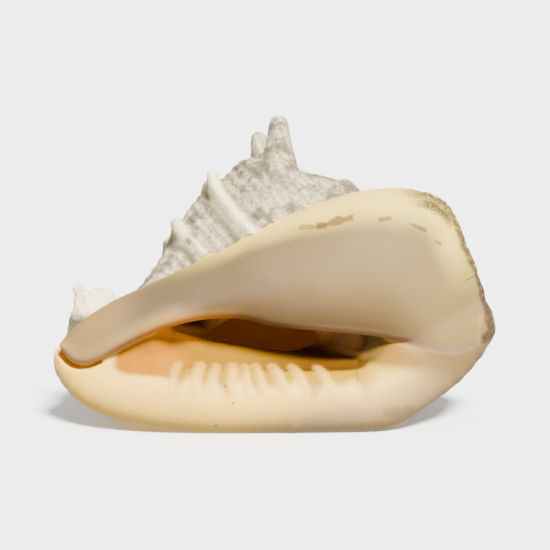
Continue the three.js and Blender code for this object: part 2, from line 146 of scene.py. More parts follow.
# Angles round the lip from its top to its front, between which the colours end
INNER_TURN = (0.05, 0.5)
RAMP_TURN = (0.5, 1.05)
GROOVE_TURN = (0.25, 0.75)
GROOVE_LEAST = 0.12  # how much further the colour runs down between the teeth
GROOVE_MORE = 0.3
ORANGE_FADE = (45.0, 75.0)
PAINTED_LIGHT_UNDER_SHIELD_UNTIL = (-50.0, -36.0)
# Far back the throat is painted very light, as painted light.
DEEP = (46.0, 60.0)  # how far back the throat turns to its deep colour
# Height over which the inside of the mouth is painted dark brown as the shield's shadow, by X
SHADOW_LINE = [(-66, 63), (-56, 58.5), (-44, 54), (-29, 49), (-8, 46.5), (19, 43), (40, 41), (60, 43)]

# Living chamber
CHAMBER_START = 3.45
CHAMBER_END = 1.0
CHAMBER_AT = 108.0
CHAMBER_HALF_LENGTH = 38.0
COLUMELLA_RADIUS = 15.0
CHAMBER_WALL = 10.0
CHAMBER_NARROWEST = 0.25

# Knobs: distance along the axis, angle, height over the whorl, half width, and lean towards the spire.
HORNS = [
    (146, 0.12, 26.5, 7.5, 0.25), (144, 0.6, 27, 6.5, 0.2), (145, 1.25, 25, 8, 0.25),
    (145, 1.95, 20, 8, 0.25), (145, 2.65, 9, 8, 0.25),
    (178, -0.2, 5, 6, 0),
    (106.5, 0.22, 8.5, 3.8, 0), (106, 1.05, 8, 5, 0), (106, 1.6, 8, 5, 0), (106, 2.15, 7, 5, 0),
    (79, 0.2, 6, 4, -0.2), (76, 0.8, 5, 4.5, -0.1), (78, 1.5, 6.5, 4.5, -0.1), (78, 2.15, 6, 4.5, -0.1),
]
HORN_SUNK = 3.0
HORN_OUTLINE = [(-0.75, 0.8), (-0.3, 1.5), (0.1, 1.4), (0.36, 1.12), (0.62, 0.92), (0.88, 0.72), (1.0, 0.52)]

# Teeth along the inside of the lip: X, half width, height, and how far the lower end leans to the right.
TEETH = [
    (-56, 2.8, 0.9, -3), (-43, 3.3, 2.0, -3), (-34, 2.7, 1.6, -2), (-24.5, 3.6, 2.4, 0.5),
    (-17, 2.4, 1.7, 1.5), (-10.5, 2.6, 2.2, 4), (-0.5, 3.3, 2.2, 6.5), (11, 3.1, 1.9, 7), (25.5, 3.6, 1.2, 7),
]
TOOTH_COURSE = [(-0.45, 0.4), (-0.1, 0.95), (0.3, 1), (0.7, 0.8), (1.1, 0.3)]
WORN_FLAT = 1.2

# Marks on the front as places X, Z in metres: stains with half width and strength, cracks with half width
STAINS = [
    ((0.014, 0.1165), (0.028, 0.1180), 0.0014, 0.6), ((0.024, 0.1175), (0.043, 0.1225), 0.0018, 0.8),
    ((0.060, 0.1215), (0.066, 0.1220), 0.0013, 0.7), ((0.077, 0.1190), (0.086, 0.1150), 0.0011, 0.7),
    ((0.092, 0.1090), (0.095, 0.1075), 0.0010, 0.6),
]
CRACKS = [
    ((0.110, 0.0855), (0.1175, 0.0870), 0.0005), ((0.0455, 0.0400), (0.0470, 0.0310), 0.0003),
    ((0.0685, 0.1042), (0.0685, 0.1042), 0.0008),
]
YELLOW_STAIN = ((0.1175, 0.052), (0.118, 0.064), 0.0024)
LIP_SMUDGE = ((0.064, 0.013), (0.076, 0.014), 0.004)
LIP_SPECKS = [(-0.0296, 0.0290), (-0.0248, 0.0200), (-0.0350, 0.0060)]
SPECK_SIZE = 0.0008

# Colours as red, green and blue. A pair is clouded together.
SHIELD_LEFT_PAINTED_SHADE_TONES = [(0.085, 0.056, 0.024), (0.10, 0.067, 0.028)]
SHIELD_RIGHT_TONES = [(0.165, 0.107, 0.034), (0.19, 0.123, 0.038)]
TONGUE_TONE = (0.20, 0.118, 0.038)
OCHRE_AND_PAINTED_SHADE_TONE = (0.085, 0.045, 0.014)
BORDER_TONE = (0.58, 0.41, 0.07)
ROLL_PAINTED_LIGHT_TONE = (0.30, 0.175, 0.06)
BLUSH_TONE = (0.42, 0.16, 0.012)
LOWER_EDGE_PAINTED_LIGHT_TONE = (0.2, 0.12, 0.06)
STAIN_TONE = (0.085, 0.038, 0.004)
YELLOW_STAIN_TONE = (0.30, 0.19, 0.03)
CRACK_TONE = (0.07, 0.04, 0.02)
RIM_DIRT_TONE = (0.045, 0.029, 0.013)
LIP_TONES = [(0.80, 0.47, 0.065), (0.72, 0.42, 0.06)]
LIP_BY_SPIRE_TONE = (0.44, 0.28, 0.075)
LIP_PAINTED_SHADE_TONE = (0.40, 0.25, 0.095)
SLOPE_TONE = (0.25, 0.125, 0.014)
GROOVE_TONE = (0.34, 0.175, 0.003)
SMUDGE_TONE = (0.10, 0.05, 0.02)
SPECK_TONE = (0.06, 0.03, 0.015)
TOOTH_TONE = (0.66, 0.38, 0.045)
RAMP_TONES = [(0.30, 0.10, 0.001), (0.34, 0.125, 0.001)]
PAINTED_LIGHT_UNDER_SHIELD_TONE = (0.62, 0.23, 0.002)
FLOOR_YELLOW_TONE = (0.23, 0.105, 0.001)
FLOOR_BROWN_TONE = (0.08, 0.03, 0.002)
FLOOR_END_TONE = (0.085, 0.047, 0.006)
SHADE_LEFT_TONE = (0.09, 0.014, 0.003)
SHADE_RIGHT_TONE = (0.42, 0.2, 0.055)
SHADE_END_TONE = (0.12, 0.07, 0.014)
THROAT_PAINTED_LIGHT_TONE = (0.95, 0.40, 0.09)
BACK_TONES = [(0.15, 0.12, 0.075), (0.62, 0.51, 0.29)]
CORD_GAP_TONE = (0.17, 0.135, 0.085)
BACK_PAINTED_SHADE_TONE = (0.085, 0.064, 0.038)
CHALK_TONE = (0.95, 0.80, 0.45)
PIT_TONE = (0.10, 0.08, 0.055)
STUDIO_FLOOR_TONE = (0.95, 0.95, 0.95)

# Light and camera
WORLD_HIGH = 0.8
WORLD_LOW = 1.2
WORLD_FADE = (-0.3, 0.9)  # from how far down to how far up the world's light changes
KEY_STRENGTH = 17.5
KEY_SPREAD = 14.0
KEY_FROM = (0.3, -0.8, 1.0)
STUDIO_FLOOR_SIZE = 40
CAMERA_TARGET = (-0.0010, -0.020, 0.084)
CAMERA_ELEVATION = 10
CAMERA_DISTANCE = 1.1
CAMERA_LENS = 120.5
CAMERA_SENSOR = 36

axis = (APEX - SIPHON_END) / np.linalg.norm(APEX - SIPHON_END)
up = np.array([0.0, 0.0, 1.0]) - axis * axis[2]
up /= np.linalg.norm(up)
back = np.cross(up, axis)


def through(pairs):
    """A smooth curve through pairs of numbers, as a function of arrays."""
    at = np.array([pair[0] for pair in pairs], float)
    value = np.array([pair[1] for pair in pairs], float)
    slope = np.gradient(value, at)

    def curve(x):
        x = np.clip(x, at[0], at[-1])
        i = np.clip(np.searchsorted(at, x) - 1, 0, len(at) - 2)
        width = at[i + 1] - at[i]
        t = (x - at[i]) / width
        rise = value[i] * (1 + 2 * t) * (1 - t) ** 2 + value[i + 1] * (3 - 2 * t) * t**2
        bend = width * (slope[i] * t * (1 - t) ** 2 - slope[i + 1] * t**2 * (1 - t))
        return (rise + bend).astype(np.float32)

    return curve


def ease(x, low, high):
    """0 below low, 1 above high, smooth between."""
    t = np.clip((x - low) / (high - low), 0, 1)
    return t * t * (3 - 2 * t)


def between(x, start, full, fading, end):
    """0 before start, 1 from full to fading, 0 after end, smooth between."""
    return ease(x, start, full) * (1 - ease(x, fading, end))


def bell(x, at, half_width):
    """1 at a place, falling off smoothly to both sides."""
    return np.exp(-(((x - at) / half_width) ** 2))


def joined(a, b, fillet):
    """Union of two fields with a fillet of about that size."""
    near = np.maximum(0, 1 - np.abs(a - b) / fillet)
    return np.minimum(a, b) - fillet / 4 * near * near


def cut(a, b, fillet):
    """Field a with field b cut out of it, and the edge rounded."""
    return -joined(-a, b, fillet)


whorl_radius = through(WHORL_PROFILE)
shield_lower = through(SHIELD_LOWER_EDGE)
shield_upper = through(SHIELD_UPPER_EDGE)
lower_depth = through(LOWER_EDGE_DEPTH)
upper_depth = through(UPPER_EDGE_DEPTH)
shield_depth = through(SHIELD_DEPTH)
lip_forward = LIP[:-1]
lip_depth = through([(stop[0], stop[1]) for stop in lip_forward])
lip_height = through([(stop[0], stop[2]) for stop in lip_forward])
lip_radius = through([(stop[0], stop[3]) for stop in lip_forward])
mouth_depth = through(MOUTH_DEPTH)
floor_slope = through(FLOOR_SLOPE)
horn_width = through(HORN_OUTLINE)
shadow_line = through(SHADOW_LINE)


def coil(along, angle, radius):
    """The point at a distance along the axis, an angle round it and a radius."""
    return SIPHON_END + axis * along + (up * math.cos(angle) + back * math.sin(angle)) * radius


def coil_coordinates(x, y, z):
    """Distance along the axis, angle round it from the top over the back, and radius."""
    dx, dy, dz = x - SIPHON_END[0], y - SIPHON_END[1], z - SIPHON_END[2]
    along = dx * axis[0] + dy * axis[1] + dz * axis[2]
    over = dx * up[0] + dy * up[1] + dz * up[2]
    behind = dx * back[0] + dy * back[1] + dz * back[2]
    angle = np.arctan2(behind, over)
    angle = np.where(angle < COIL_START, angle + 2 * math.pi, angle)
    return along, angle, np.hypot(over, behind)


def grown(radius, angle):
    """The body whorl's radius grows from under the shield, over the top and the back, to the lip."""
    out = UNDER_SHIELD + (1 - UNDER_SHIELD) * ease(angle, COIL_START, COIL_FULL)
    return radius * WHORL_GROWTH ** (angle / (2 * math.pi)) * out


def shield_face(x, z):
    """How far back the shield's face lies."""
    low = shield_lower(x)
    rise = np.clip((z - low) / np.maximum(shield_upper(x) - low, 1), 0, 1)
    fade = np.clip((SHIELD_HALF_LENGTH - np.abs(x)) / BULGE_FADE, 0, 1)
    swell = SHIELD_BULGE * fade * np.sin(math.pi * rise**BULGE_LOW)
    low_y, high_y = lower_depth(x), upper_depth(x)
    return low_y + (high_y - low_y) * rise * rise - swell


def shield_inset(x, z):
    """Distance inside the shield's outline, negative outside, seen from the front."""
    xs = np.linspace(SHIELD_LOWER_EDGE[0][0], SHIELD_LOWER_EDGE[-1][0], 90)
    outline = list(zip(xs, shield_lower(xs))) + list(zip(xs[::-1], shield_upper(xs[::-1])))
    px, pz = np.broadcast_arrays(np.asarray(x, np.float32), np.asarray(z, np.float32))
    nearest = np.full(px.shape, 1e6, np.float32)
    inside = np.zeros(px.shape, bool)
    for (ax, az), (bx, bz) in zip(outline, outline[1:] + outline[:1]):
        ex, ez = bx - ax, bz - az
        t = np.clip(((px - ax) * ex + (pz - az) * ez) / max(ex * ex + ez * ez, 1e-9), 0, 1)
        nearest = np.minimum(nearest, np.hypot(px - ax - t * ex, pz - az - t * ez))
        if az != bz:
            crosses = (az > pz) != (bz > pz)
            inside ^= crosses & (px < (pz - az) * ex / ez + ax)
    return np.where(inside, nearest, -nearest)


def smooth_stops(stops, count):
    """Points on a smooth curve through the stops, with the radius as the fourth number."""
    places = np.linspace(0, len(stops) - 1, count)
    return np.stack([through([(i, stop[k]) for i, stop in enumerate(stops)])(places) for k in range(4)], 1)


# A field is about the distance to a surface, negative inside. A factor under 1 slows one that rises too fast.
def tube_field(x, y, z, stops, count=20):
    """Distance to a round tube of changing radius."""
    points = smooth_stops(stops, count)
    field = None
    for a, b in zip(points, points[1:]):
        e = b - a
        length = float(e[:3] @ e[:3])
        t = np.clip(((x - a[0]) * e[0] + (y - a[1]) * e[1] + (z - a[2]) * e[2]) / length, 0, 1)
        dx, dy, dz = x - a[0] - t * e[0], y - a[1] - t * e[1], z - a[2] - t * e[2]
        reach = np.sqrt(dx * dx + dy * dy + dz * dz) - (a[3] + t * e[3])
        field = reach if field is None else np.minimum(field, reach)
    return field


def rough(x, y, z, size):
    """An uneven height from -1 to 1, with lumps of about that size."""
    a, b, c = x / size * 2.9, y / size * 2.9, z / size * 2.9
    first = np.sin(a + 1.7 * np.sin(b * 0.9) + 0.6 * c) * np.sin(b * 1.1 - 0.8 * c + 1.3 * np.sin(a * 0.7))
    second = np.sin(1.9 * c + 1.1 * np.sin(a * 1.6) + 0.5) * np.sin(1.8 * a - 1.4 * b)
    return 0.65 * first + 0.35 * second


def leaned(along, angle):
    """Distance along the axis as the ridges run."""
    return along + RIDGE_LEAN * np.minimum(0, angle - RIDGE_LEAN_FROM)


def relief(along, angle):
    """Height of the spiral ridges, the fine cords and the rise below the front horns."""
    at, high, half = SHOULDER_RISE
    height = high * between(angle, *SHOULDER_RISE_TURN) * bell(along, at, half)
    along = leaned(along, angle)
    for at, high, half in SPIRAL_RIDGES:
        height = height + high * bell(along, at, half)
    wander = 0.9 * np.sin(angle * 3.1 + along * 0.05) + 0.6 * np.sin(angle * 7.3)
    cords = np.cos((along + wander) * (2 * math.pi / CORD_PITCH))
    return height + CORD_HEIGHT * cords * between(along, *CORD_SPAN)


def whorl_field(x, y, z):
    """The body whorl and the spire, kept behind the shield."""
    along, angle, rho = coil_coordinates(x, y, z)
    radius = grown(whorl_radius(along), angle)
    share = np.maximum(radius, 1) / float(whorl_radius(SHOULDER_AT))
    turns = np.log(share) / math.log(SPIRE_GROWTH) - angle / (2 * math.pi)
    step = SUTURE_STEP * share * (1 - 2 * (turns - np.floor(turns)))
    radius = radius + step * ease(along, SHOULDER_AT, SHOULDER_AT + SUTURE_FADE)
    field = (rho - radius) * 0.8
    field = np.maximum(field, WHORL_PROFILE[0][0] - along)
    field = np.maximum(field, along - WHORL_PROFILE[-1][0])
    over = np.maximum(0, z - shield_upper(x))
    front = shield_face(x, z) + SHIELD_BACKING + EDGE_SLOPE * over
    rounding = 1 + EDGE_ROUNDING * ease(over, 0, EDGE_ROUNDING)
    field = -joined(-field, (y - front) * 0.75, rounding)
    return field - relief(along, angle) - BACK_ROUGH * rough(x, y, z, 7)


def shield_field(x, y, z):
    """The thick glazed plate with its rounded rim."""
    inset = shield_inset(x, z)
    at_rim = ease(x, *WORN_FROM) * (1 - ease(inset, *WORN_WIDTH))
    inset = inset - RIM_WORN * at_rim * (1 + rough(x, y, z, 6))
    face = shield_face(x, z)
    half = SHIELD_THICKNESS / 2
    full = np.clip(inset / SHIELD_THICKNESS, 0, 1)
    behind = face + SHIELD_THICKNESS + (shield_depth(x) - SHIELD_THICKNESS) * full
    out = half - inset
    deep = half + np.maximum(face - y, y - behind)
    rim = np.hypot(np.maximum(out, 0), np.maximum(deep, 0)) - half
    return np.where((out < 0) & (deep < 0), np.maximum(out, deep) - half, rim) * 0.9


def mouth_field(x, y, z):
    """The gap between the lip and the shield, in front of the throat."""
    top = shield_lower(x) + SHIELD_THICKNESS / 2
    behind_lip = y - lip_depth(x)
    floor = lip_height(x) + lip_radius(x) * ease(behind_lip, -FLOOR_EASE, FLOOR_EASE)
    floor = floor + floor_slope(x) * np.maximum(0, behind_lip)
    gap = np.maximum(floor - z, z - top)
    back_slope = MOUTH_BACK_SLOPE * ease(x, *MOUTH_BACK_SLOPE_FROM)
    gap = np.maximum(gap, y - mouth_depth(x) - back_slope * (z - lip_height(x) - 2 * FLOOR_EASE))
    return np.maximum(gap, np.maximum(MOUTH_DEPTH[0][0] - x, x - MOUTH_DEPTH[-1][0]))


def crevice_field(x, y, z):
    """The narrow gap under the shield's tongue."""
    at_tip = 1 - ease(x, *CREVICE_TIP)
    width = CREVICE_WIDTH * (1 + 0.5 * at_tip)
    gap = np.abs(shield_inset(x, z) + CREVICE_GAP + 0.5 * at_tip) - width / 2
    gap = np.maximum(gap, y - CREVICE_DEPTH - (CREVICE_DEPTH_AT_TIP - CREVICE_DEPTH) * at_tip)
    return np.maximum(gap, np.maximum(x - CREVICE_END[0], z - CREVICE_END[1]) / 4)


def chamber_field(x, y, z):
    """The hollow that winds round the columella behind the throat."""
    along, angle, rho = coil_coordinates(x, y, z)
    share = np.clip((CHAMBER_START - angle) / (CHAMBER_START - CHAMBER_END), -0.2, 1.2)
    size = np.maximum(CHAMBER_NARROWEST, np.sqrt(np.clip(1 - share * share, 0, 1)))
    middle = (grown(whorl_radius(along), angle) - CHAMBER_WALL + COLUMELLA_RADIUS) / 2
    half = np.maximum(middle - COLUMELLA_RADIUS, 1)
    flat = (along - CHAMBER_AT) / (CHAMBER_HALF_LENGTH * size)
    tall = (rho - middle) / (half * size)
    field = (np.hypot(flat, tall) - 1) * half * size * 0.7
    return np.maximum(field, np.maximum(angle - CHAMBER_START, CHAMBER_END - angle) * 40)


def horn_field(x, y, z, horn):
    """A blunt horn, wide at its foot."""
    along, angle, height, half_width, lean = horn
    foot = coil(along, angle, float(grown(whorl_radius(along), angle)) - HORN_SUNK)
    out = coil(along, angle, 1) - coil(along, angle, 0) + axis * lean
    out /= np.linalg.norm(out)
    tall = height + HORN_SUNK
    dx, dy, dz = x - foot[0], y - foot[1], z - foot[2]
    rise = dx * out[0] + dy * out[1] + dz * out[2]
    aside = np.sqrt(np.maximum(dx * dx + dy * dy + dz * dz - rise * rise, 0))
    side = (aside - half_width * horn_width(rise / tall)) * 0.9
    field = -joined(-side, tall - rise, 2.5)
    return np.maximum(field, -0.75 * tall - rise)


def tooth_field(x, y, z, tooth):
    """A smooth bar that runs over the inner edge of the lip and down its front."""
    at, half_width, high, slant = tooth
    radius, depth, height = (float(curve(at)) for curve in (lip_radius, lip_depth, lip_height))
    stops = []
    for forward, share in TOOTH_COURSE:
        reach = radius + (high - half_width) * share
        place = (at + slant * forward, depth - reach * math.sin(forward), height + reach * math.cos(forward))
        stops.append((*place, half_width * share))
    return tube_field(x, y, z, stops, 6)


def teeth_field(x, y, z):
    """All the teeth."""
    field = tooth_field(x, y, z, TEETH[0])
    for tooth in TEETH[1:]:
        field = np.minimum(field, tooth_field(x, y, z, tooth))
    return field


def shell_field(x, y, z):
    """The whole shell, negative inside."""
    field = whorl_field(x, y, z)
    field = joined(field, tube_field(x, y, z, THROAT_WALL), 8)
    field = joined(field, tube_field(x, y, z, CANAL_BACK, 10), 10)
    field = cut(field, mouth_field(x, y, z), 3)
    field = joined(field, tube_field(x, y, z, LIP, 30), 10)
    siphon = cut(tube_field(x, y, z, SIPHON, 8), tube_field(x, y, z, SIPHON_NOTCH, 8), 2)
    siphon = joined(siphon, tube_field(x, y, z, SIPHON_KNOB, 5), 3)
    field = joined(field, siphon - SIPHON_ROUGH * rough(x, y, z, 6), 4)
    field = joined(field, tube_field(x, y, z, CALLUS, 8), 8)
    # At the spire end the shield flows into the lip with a wide fillet.
    by_lip = ease(x, 70, 105) * (1 - ease(z, 60, 85))
    field = joined(field, shield_field(x, y, z), 1.2 + 14 * by_lip)
    field = cut(field, crevice_field(x, y, z), 1)
    for horn in HORNS:
        field = joined(field, horn_field(x, y, z, horn), 1 + 0.6 * horn[3])
    field = cut(field, tube_field(x, y, z, THROAT, 20), 5)
    field = cut(field, chamber_field(x, y, z), 5)
    field = joined(field, teeth_field(x, y, z), 1.4)
    return np.maximum(field, WORN_FLAT - z)


def surface_net(field, low, step):
    """Points and four-sided faces of the surface where the field is zero."""
    inside = field < 0
    shape = np.array(field.shape) - 1
    total = np.zeros((*shape, 3), np.float32)
    count = np.zeros(shape, np.float32)
    corners = [np.array([i & 1, i >> 1 & 1, i >> 2 & 1]) for i in range(8)]

    def part(grid, corner):
        return grid[tuple(slice(c, c + n) for c, n in zip(corner, shape))]

    for first in corners:
        for direction in range(3):
            if first[direction]:
                continue
            second = first.copy()
            second[direction] = 1
            crosses = part(inside, first) != part(inside, second)
            a, b = part(field, first)[crosses], part(field, second)[crosses]
            place = np.tile(first.astype(np.float32), (len(a), 1))
            place[:, direction] = a / (a - b)
            total[crosses] += place
            count[crosses] += 1
    cells = np.argwhere(count > 0)
    number = np.full(shape, -1, np.int64)
    number[tuple(cells.T)] = np.arange(len(cells))
    at = tuple(cells.T)
    points = low + step * (cells + total[at] / count[at][:, None])
    faces = []
    for direction in range(3):
        ahead = [slice(None)] * 3
        behind = [slice(None)] * 3
        behind[direction], ahead[direction] = slice(0, -1), slice(1, None)
        starts = np.argwhere(inside[tuple(behind)] != inside[tuple(ahead)])
        one, two = (direction + 1) % 3, (direction + 2) % 3
        ok = (starts[:, one] > 0) & (starts[:, two] > 0)
        ok &= (starts[:, one] < shape[one]) & (starts[:, two] < shape[two])
        starts = starts[ok]
        ring = []
        for back_one, back_two in ((1, 1), (0, 1), (0, 0), (1, 0)):
            cell = starts.copy()
            cell[:, one] -= back_one
            cell[:, two] -= back_two
            ring.append(number[tuple(cell.T)])
        ring = np.stack(ring, 1)
        outward = inside[tuple(starts.T)]
        ring[~outward] = ring[~outward][:, ::-1]
        faces.append(ring)
    return points, np.concatenate(faces)


def settled(points):
    """The points moved onto the surface along the field's slope."""
    x, y, z = points.T.astype(np.float32)
    here = shell_field(x, y, z)
    ahead = [shell_field(x + PROBE, y, z), shell_field(x, y + PROBE, z), shell_field(x, y, z + PROBE)]
    slope = np.stack([(value - here) / PROBE for value in ahead], 1)
    move = -here[:, None] * slope / np.maximum((slope**2).sum(1, keepdims=True), 0.25)
    reach = np.linalg.norm(move, axis=1, keepdims=True)
    return points + move * np.minimum(1, SETTLE_REACH / np.maximum(reach, 1e-6))


def shell_surface():
    """Points and faces of the shell in the drawing frame."""
    xs, ys, zs = (np.arange(a, b, STEP, dtype=np.float32) for a, b in zip(GRID_LOW, GRID_HIGH))
    field = shell_field(xs[:, None, None], ys[None, :, None], zs[None, None, :])
    points, faces = surface_net(np.ascontiguousarray(field, np.float32), GRID_LOW, STEP)
    for _ in range(SETTLE_ROUNDS):
        points = settled(points)
    return points, faces


def near(field, reach=3.0):
    """1 on the surface of a form, 0 at the reach away from it."""
    return 1 - ease(field, 0.5, reach)


def front_regions(x, y, z):
    """How far each point is on the shield, on the lip, in the throat, in the mouth or below the shield."""
    along, angle, rho = coil_coordinates(x, y, z)
    behind = y - shield_face(x, z)
    over_mouth = z - shield_lower(x)
    shield = ease(shield_inset(x, z), -3, 1) * (1 - ease(behind, 6, 9))
    lip = near(tube_field(x, y, z, LIP, 30)) * (1 - ease(y - lip_depth(x), 6, 16))
    # The chamber's hollow comes close to the outside of the whorl, which isn't glazed.
    out = rho - grown(whorl_radius(along), angle)
    outside = ease(out, -CHAMBER_WALL, -CHAMBER_WALL / 2) * ease(y, 45, 55)
    hollow = np.minimum(tube_field(x, y, z, THROAT, 20), chamber_field(x, y, z))
    throat = near(hollow) * (1 - outside)
    mouth = near(mouth_field(x, y, z)) * (1 - ease(over_mouth, -2, 1))
    mouth = np.maximum(mouth, throat) * (1 - shield)
    front = (1 - ease(behind, 8, 11)) * (1 - ease(over_mouth, -2, 2)) * ease(x, -112, -104)
    return shield, lip, throat, mouth, front


def mouth_masks(x, y, z, regions):
    """Where the mouth is orange, in painted shadow, painted light under the shield and far in, and where the
    teeth and the grooves between them are.
    """
    shield, lip, throat, mouth, front = regions
    forward = np.arctan2(lip_depth(x) - y, z - lip_height(x))
    tooth = 1 - ease(teeth_field(x, y, z), -0.4, 1.6)
    inner = mouth * (1 - ease(forward, *INNER_TURN))
    ramp = front * between(x, *RAMP_SPAN) * (1 - ease(forward, *RAMP_TURN)) * (1 - shield)
    uneven = 1 + np.sin(x * 0.31 + 0.6) * np.sin(x * 0.083)
    reach = GROOVE_LEAST + GROOVE_MORE * (1 - tooth) * uneven
    over_line = z - shadow_line(x)
    return {
        "tooth": tooth,
        "lip_front": forward,
        "groove": lip * between(x, *GROOVE_SPAN) * (1 - ease(forward - reach, *GROOVE_TURN)),
        "orange": np.maximum(inner, ramp) * (1 - 0.6 * ease(x, *ORANGE_FADE)),
        # Painted shadow over the shadow line
        "painted_shadow": ease(over_line, -1, 3) * np.maximum(mouth, throat),
        # Painted light just under the shadow line
        "painted_light_under_shield": ease(over_line, -8, -3) * (1 - ease(x, *PAINTED_LIGHT_UNDER_SHIELD_UNTIL)),
        # Painted light far in the throat
        "depth": ease(y, *DEEP) * mouth,
    }


def back_masks(x, y, z):
    """Where the back is chalk white or painted in shade, and the distance along the axis as the ridges run.
    """
    along, angle, _ = coil_coordinates(x, y, z)
    along = leaned(along, angle)
    ridge = sum(bell(along, at, half) for at, _, half in SPIRAL_RIDGES[:2])
    by_shield = 1 - ease(angle, -0.9, -0.4)
    ridge = ridge + 0.7 * by_shield * bell(along, 115, 6)
    # Painted shade on the siphon's side of the first two ridges
    shaded = bell(along, 100, 3) + bell(along, 73, 2.5)
    siphon = np.minimum(tube_field(x, y, z, SIPHON, 8), tube_field(x, y, z, SIPHON_KNOB, 5))
    on_siphon = near(siphon, 2.5)
    # The siphon is chalk white on top and painted in shade on its lower side.
    siphon_top = np.maximum(ease(z, 63, 70), 0.6 * ease(y, 44, 52))
    return {
        "ridge": np.maximum(ridge * (1 - on_siphon), on_siphon * siphon_top),
        "shaded": np.maximum(shaded * (1 - on_siphon), 0.8 * on_siphon * (1 - siphon_top)),
        "along": along,
    }


def shell_masks(points):
    """Where the shell is glazed, orange, weathered and so on, one number for each point."""
    x, y, z = points.T.astype(np.float32)
    regions = front_regions(x, y, z)
    shield, lip, _, mouth, front = regions
    over_mouth = z - shield_lower(x)
    by_spire = front * ease(x, 72, 98) * ease(over_mouth, -30, -4)
    rim = np.maximum(ease(over_mouth, 5, 12), ease(x, 118, 123))
    return {
        "glaze": np.clip(np.maximum.reduce([shield, lip, mouth, front]), 0, 1),
        "on_shield": shield,
        "inset": shield_inset(x, z),
        "shield_tint": np.maximum(shield, by_spire),
        "over_mouth": over_mouth,
        "worn": shield * ease(x, *WORN_FROM) * rim,
        "slope": front * between(x, *SLOPE_SPAN) * ease(z, 36, 43) * (1 - shield),
        **mouth_masks(x, y, z, regions),
        **back_masks(x, y, z),
    }


def make_shell():
    """The shell's mesh, with the masks as numbers on its points."""
    points, faces = shell_surface()
    mesh = bpy.data.meshes.new("shell_look")
    mesh.from_pydata(((points - ORIGIN) / 1000).tolist(), [], faces.tolist())
    mesh.polygons.foreach_set("use_smooth", np.ones(len(faces), bool))
    for name, values in shell_masks(points).items():
        layer = mesh.attributes.new(name, "FLOAT", "POINT")
        layer.data.foreach_set("value", np.ascontiguousarray(values, np.float32))
    mesh.update()
    shell = bpy.data.objects.new("shell_look", mesh)
    bpy.context.collection.objects.link(shell)
    return shell


class Nodes:
    """Short ways to add and link shader nodes."""

    def __init__(self, material):
        self.tree = material.node_tree

    def put(self, socket, value):
        """Links a socket to another, or sets it to a number or colour."""
        if isinstance(value, bpy.types.NodeSocket):
            self.tree.links.new(value, socket)
        else:
            socket.default_value = (*value, 1) if isinstance(value, tuple) else value

    def mask(self, name):
        """One of the numbers on the mesh's points."""
        node = self.tree.nodes.new("ShaderNodeAttribute")
        node.attribute_name = name
        return node.outputs["Fac"]

    def place(self):
        """Position in metres."""
        return self.tree.nodes.new("ShaderNodeTexCoord").outputs["Object"]

    def across_and_up(self):
        """X and Z in metres."""
        split = self.tree.nodes.new("ShaderNodeSeparateXYZ")
        self.put(split.inputs[0], self.place())
        return split.outputs["X"], split.outputs["Z"]

    def maths(self, operation, *values):
        node = self.tree.nodes.new("ShaderNodeMath")
        node.operation = operation
        for socket, value in zip(node.inputs, values):
            self.put(socket, value)
        return node.outputs[0]

    def plus(self, a, b):
        return self.maths("ADD", a, b)

    def less(self, a, b):
        return self.maths("SUBTRACT", a, b)

    def most(self, a, b):
        return self.maths("MAXIMUM", a, b)

    def times(self, *values):
        out = values[0]
        for value in values[1:]:
            out = self.maths("MULTIPLY", out, value)
        return out

    def span(self, value, low, high):
        """0 at low, 1 at high, smooth between."""
        node = self.tree.nodes.new("ShaderNodeMapRange")
        node.interpolation_type = "SMOOTHSTEP"
        self.put(node.inputs["Value"], value)
        self.put(node.inputs["From Min"], low)
        self.put(node.inputs["From Max"], high)
        return node.outputs["Result"]

    def falling(self, value, low, high):
        """1 at low, 0 at high, smooth between."""
        return self.less(1.0, self.span(value, low, high))

    def noise(self, scale, detail=4.0, roughness=0.55):
        node = self.tree.nodes.new("ShaderNodeTexNoise")
        self.put(node.inputs["Vector"], self.place())
        self.put(node.inputs["Scale"], scale)
        self.put(node.inputs["Detail"], detail)
        self.put(node.inputs["Roughness"], roughness)
        return node.outputs["Fac"]

    def wobbled(self, value, scale, reach):
        """A value made uneven by noise, by up to half the reach either way."""
        swing = self.less(self.noise(scale), 0.5)
        return self.plus(value, self.times(swing, reach))

    def cords(self):
        """The fine spiral cords, 1 on their crests and -1 between them."""
        along = self.wobbled(self.mask("along"), 40, 3.5)
        return self.maths("COSINE", self.times(along, 2 * math.pi / CORD_PITCH))

    def streak(self, start, end, half_width, wobble):
        """1 close to a line from start to end, seen from the front, 0 away from it. All in metres."""
        x, z = self.across_and_up()
        dx = self.less(x, start[0])
        dz = self.less(z, start[1])
        run, rise = end[0] - start[0], end[1] - start[1]
        length = max(run * run + rise * rise, 1e-9)
        share = self.plus(self.times(dx, run / length), self.times(dz, rise / length))
        share = self.maths("MINIMUM", self.most(share, 0.0), 1.0)
        aside = self.less(dx, self.times(share, run))
        above = self.less(dz, self.times(share, rise))
        away = self.maths("SQRT", self.plus(self.times(aside, aside), self.times(above, above)))
        return self.falling(self.wobbled(away, 120, wobble), half_width * 0.4, half_width * 1.3)

    def mix(self, amount, a, b):
        """Colour a, or colour b as far as the amount goes."""
        node = self.tree.nodes.new("ShaderNodeMix")
        node.data_type = "RGBA"
        self.put(node.inputs["Factor"], amount)
        self.put(node.inputs[6], a)
        self.put(node.inputs[7], b)
        return node.outputs[2]

    def bump(self, height, strength, distance, normal=None):
        node = self.tree.nodes.new("ShaderNodeBump")
        self.put(node.inputs["Height"], height)
        self.put(node.inputs["Strength"], strength)
        self.put(node.inputs["Distance"], distance)
        if normal is not None:
            self.put(node.inputs["Normal"], normal)
        return node.outputs["Normal"]


